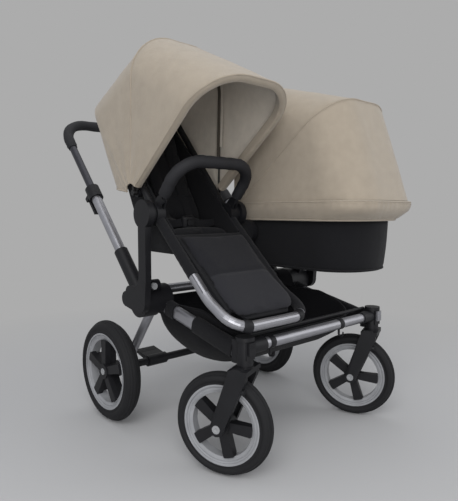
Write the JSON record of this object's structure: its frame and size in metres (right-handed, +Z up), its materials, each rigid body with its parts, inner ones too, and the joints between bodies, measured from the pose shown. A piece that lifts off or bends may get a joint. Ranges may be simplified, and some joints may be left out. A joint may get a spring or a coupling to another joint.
{
  "type": "twin pram",
  "caption": "Side-by-side twin pram: a reclining seat under a canopy beside a hooded carrycot, on a folding frame with swivel front wheels and a sliding handlebar.",
  "frame": {"origin": "on the ground, under the centre of the bounding box", "axes": "+Z up, -Y the way the pram drives, -X the pram's right side, where the seat is"},
  "size_m": [0.73, 1.0516, 1.1196],
  "materials": {
    "black_plastic": "matte",
    "silver_tube": "satin",
    "dark_tube": "satin",
    "grip_cover": "matte",
    "white_plastic": "satin",
    "tyre": "matte",
    "rim_plastic": "satin",
    "black_fabric": "woven",
    "beige_fabric": "woven",
    "white_fabric": "woven",
    "rib_plastic": "satin"
  },
  "bodies": {
    "chassis": {"right_hub": "black_plastic", "left_hub": "black_plastic", "front_beams": "silver_tube", "right_corner_block": "black_plastic", "left_corner_block": "black_plastic", "front_cross_tubes": "silver_tube", "mid_cross_tube": "silver_tube", "outer_posts": "black_plastic", "centre_post": "black_plastic", "basket": "black_fabric", "arm_tubes": "silver_tube", "arm_sleeves": "black_plastic", "handle_clamps": "black_plastic"},
    "handle": {"handlebar": "dark_tube", "grip": "grip_cover"},
    "rear_frame": {"rear_legs": "silver_tube", "rear_axle": "silver_tube"},
    "brake": {"brake_pedal": "black_plastic"},
    "seat_carrier": {"seat_hubs": "black_plastic"},
    "seat": {"seat_frame": "silver_tube", "seat_sling": "black_fabric", "seat_liner": "black_fabric", "leg_panel": "black_fabric", "harness": "black_fabric", "seat_canopy": "beige_fabric"},
    "buckle": {"buckle_button": "white_plastic"},
    "bumper": {"bumper_bar": "grip_cover"},
    "canopy_front": {"seat_front_rib": "rib_plastic"},
    "canopy_mid": {"seat_mid_rib": "rib_plastic"},
    "carrycot": {"carrycot_frame": "black_plastic", "carrycot_tub": "black_fabric", "mattress": "white_fabric", "apron": "beige_fabric", "carrycot_hood": "beige_fabric"},
    "hood_open": {"hood_open_rib": "rib_plastic"},
    "hood_mid": {"hood_mid_rib": "rib_plastic"},
    "right_fold_release": {"right_fold_button": "white_plastic"},
    "right_lever": {"right_clamp_lever": "black_plastic"},
    "right_rear_wheel": {"right_rear_tyre": "tyre", "right_rear_rim": "rim_plastic", "right_rear_spokes": "black_plastic"},
    "right_rear_release": {"right_rear_button": "white_plastic"},
    "right_caster": {"right_fork": "black_plastic"},
    "right_front_wheel": {"right_front_tyre": "tyre", "right_front_rim": "rim_plastic", "right_front_spokes": "black_plastic"},
    "right_front_release": {"right_front_button": "white_plastic"},
    "right_lock": {"right_swivel_lock": "silver_tube"},
    "left_fold_release": {"left_fold_button": "white_plastic"},
    "left_lever": {"left_clamp_lever": "black_plastic"},
    "left_rear_wheel": {"left_rear_tyre": "tyre", "left_rear_rim": "rim_plastic", "left_rear_spokes": "black_plastic"},
    "left_rear_release": {"left_rear_button": "white_plastic"},
    "left_caster": {"left_fork": "black_plastic"},
    "left_front_wheel": {"left_front_tyre": "tyre", "left_front_rim": "rim_plastic", "left_front_spokes": "black_plastic"},
    "left_front_release": {"left_front_button": "white_plastic"},
    "left_lock": {"left_swivel_lock": "silver_tube"}
  },
  "joints": [
    {"name": "handle_slide", "type": "slide", "parent": "chassis", "child": "handle", "axis": [0, 0.6782, 0.7349], "range_m": [-0.09, 0.11]},
    {"name": "frame_fold", "type": "hinge", "parent": "chassis", "child": "rear_frame", "pos_m": [0, -0.08, 0.39], "axis": [-1, 0, 0], "range_deg": [0, 38]},
    {"name": "brake_press", "type": "hinge", "parent": "rear_frame", "child": "brake", "pos_m": [0, 0.098, 0.153], "axis": [-1, 0, 0], "range_deg": [0, 18]},
    {"name": "seat_lift", "type": "slide", "parent": "chassis", "child": "seat_carrier", "axis": [0, 0, 1], "range_m": [0, 0.35]},
    {"name": "seat_recline", "type": "hinge", "parent": "seat_carrier", "child": "seat", "pos_m": [-0.189, -0.13, 0.632], "axis": [-1, 0, 0], "range_deg": [0, 20]},
    {"name": "buckle_press", "type": "slide", "parent": "seat", "child": "buckle", "axis": [0, 1, 0], "range_m": [0, 0.0015], "stiffness_N_per_m": 800},
    {"name": "bumper_swing", "type": "hinge", "parent": "seat", "child": "bumper", "pos_m": [-0.189, -0.159, 0.668], "axis": [-1, 0, 0], "range_deg": [0, 45]},
    {"name": "canopy_open", "type": "hinge", "parent": "seat", "child": "canopy_front", "pos_m": [-0.189, -0.06, 0.69], "axis": [-1, 0, 0], "range_deg": [0, 75], "deforming": ["seat_canopy"]},
    {"name": "canopy_follow", "type": "hinge", "parent": "seat", "child": "canopy_mid", "pos_m": [-0.189, -0.06, 0.69], "axis": [-1, 0, 0], "range_deg": [0, 37.5]},
    {"name": "carrycot_lift", "type": "slide", "parent": "chassis", "child": "carrycot", "axis": [0, 0, 1], "range_m": [0, 0.35]},
    {"name": "hood_fold", "type": "hinge", "parent": "carrycot", "child": "hood_open", "pos_m": [0.189, -0.075, 0.65], "axis": [1, 0, 0], "range_deg": [0, 65], "deforming": ["carrycot_hood"]},
    {"name": "hood_follow", "type": "hinge", "parent": "carrycot", "child": "hood_mid", "pos_m": [0.189, -0.075, 0.65], "axis": [1, 0, 0], "range_deg": [0, 32.5]},
    {"name": "right_fold_press", "type": "slide", "parent": "chassis", "child": "right_fold_release", "axis": [0, 1, 0], "range_m": [0, 0.004], "stiffness_N_per_m": 900},
    {"name": "right_clamp_flip", "type": "hinge", "parent": "chassis", "child": "right_lever", "pos_m": [-0.292, 0.2891, 0.6768], "axis": [1, 0, 0], "range_deg": [0, 100]},
    {"name": "right_rear_spin", "type": "hinge", "parent": "rear_frame", "child": "right_rear_wheel", "pos_m": [-0.339, 0.098, 0.153], "axis": [1, 0, 0], "continuous": true},
    {"name": "right_rear_press", "type": "slide", "parent": "right_rear_wheel", "child": "right_rear_release", "axis": [1, 0, 0], "range_m": [0, 0.003], "stiffness_N_per_m": 900},
    {"name": "right_swivel", "type": "hinge", "parent": "chassis", "child": "right_caster", "pos_m": [-0.273, -0.429, 0.3], "axis": [0, 0, 1], "continuous": true},
    {"name": "right_front_spin", "type": "hinge", "parent": "right_caster", "child": "right_front_wheel", "pos_m": [-0.29449, -0.37837, 0.1275], "axis": [0.9205, 0.3907, 0], "continuous": true},
    {"name": "right_front_press", "type": "slide", "parent": "right_caster", "child": "right_front_release", "axis": [0.9205, 0.3907, 0], "range_m": [0, 0.003], "stiffness_N_per_m": 900},
    {"name": "right_lock_slide", "type": "slide", "parent": "chassis", "child": "right_lock", "axis": [0, 0, -1], "range_m": [0, 0.008]},
    {"name": "left_fold_press", "type": "slide", "parent": "chassis", "child": "left_fold_release", "axis": [0, 1, 0], "range_m": [0, 0.004], "stiffness_N_per_m": 900},
    {"name": "left_clamp_flip", "type": "hinge", "parent": "chassis", "child": "left_lever", "pos_m": [0.292, 0.2891, 0.6768], "axis": [1, 0, 0], "range_deg": [0, 100]},
    {"name": "left_rear_spin", "type": "hinge", "parent": "rear_frame", "child": "left_rear_wheel", "pos_m": [0.339, 0.098, 0.153], "axis": [1, 0, 0], "continuous": true},
    {"name": "left_rear_press", "type": "slide", "parent": "left_rear_wheel", "child": "left_rear_release", "axis": [-1, 0, 0], "range_m": [0, 0.003], "stiffness_N_per_m": 900},
    {"name": "left_swivel", "type": "hinge", "parent": "chassis", "child": "left_caster", "pos_m": [0.273, -0.429, 0.3], "axis": [0, 0, 1], "continuous": true},
    {"name": "left_front_spin", "type": "hinge", "parent": "left_caster", "child": "left_front_wheel", "pos_m": [0.25151, -0.37837, 0.1275], "axis": [0.9205, 0.3907, 0], "continuous": true},
    {"name": "left_front_press", "type": "slide", "parent": "left_caster", "child": "left_front_release", "axis": [0.9205, 0.3907, 0], "range_m": [0, 0.003], "stiffness_N_per_m": 900},
    {"name": "left_lock_slide", "type": "slide", "parent": "chassis", "child": "left_lock", "axis": [0, 0, -1], "range_m": [0, 0.008]}
  ],
  "couplings": [
    {"joint": "canopy_follow", "follows": "canopy_open", "ratio": 0.5},
    {"joint": "hood_follow", "follows": "hood_fold", "ratio": 0.5}
  ]
}
